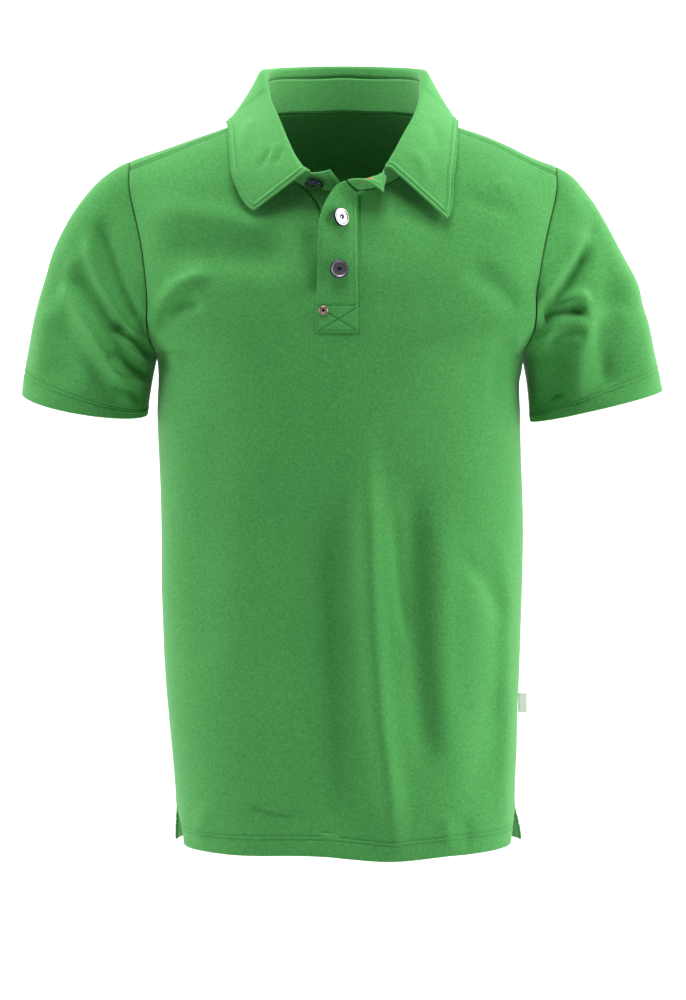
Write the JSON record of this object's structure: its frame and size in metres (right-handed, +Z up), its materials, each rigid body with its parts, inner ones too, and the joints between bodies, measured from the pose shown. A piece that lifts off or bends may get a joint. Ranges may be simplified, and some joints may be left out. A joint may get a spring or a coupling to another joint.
{
  "type": "polo shirt",
  "caption": "Short-sleeved polo shirt held in its worn shape, with an open placket, a folded collar, a straight hem with side slits and metal shank buttons.",
  "frame": {"origin": "midway between the two neck points of the shoulders, where the wearer carries the shirt", "axes": "+X towards the wearer's left, -Y out of the front, +Z up"},
  "size_m": [0.641, 0.2427, 0.7911],
  "materials": {
    "body_cloth": "matte green pique knit",
    "collar_cloth": "matte green pique knit, two layers",
    "button_metal": "satin pewter",
    "rivet_metal": "satin copper",
    "label_tape": "white woven tape"
  },
  "bodies": {
    "root": {"front": "body_cloth", "back": "body_cloth", "sleeve_left": "body_cloth", "sleeve_right": "body_cloth", "placket_under": "body_cloth", "placket_top": "body_cloth", "collar_stand": "collar_cloth", "collar_leaf": "collar_cloth", "button_upper": "button_metal", "button_lower": "button_metal", "button_stand": "button_metal", "rivet": "rivet_metal", "side_label": "label_tape"}
  },
  "joints": []
}
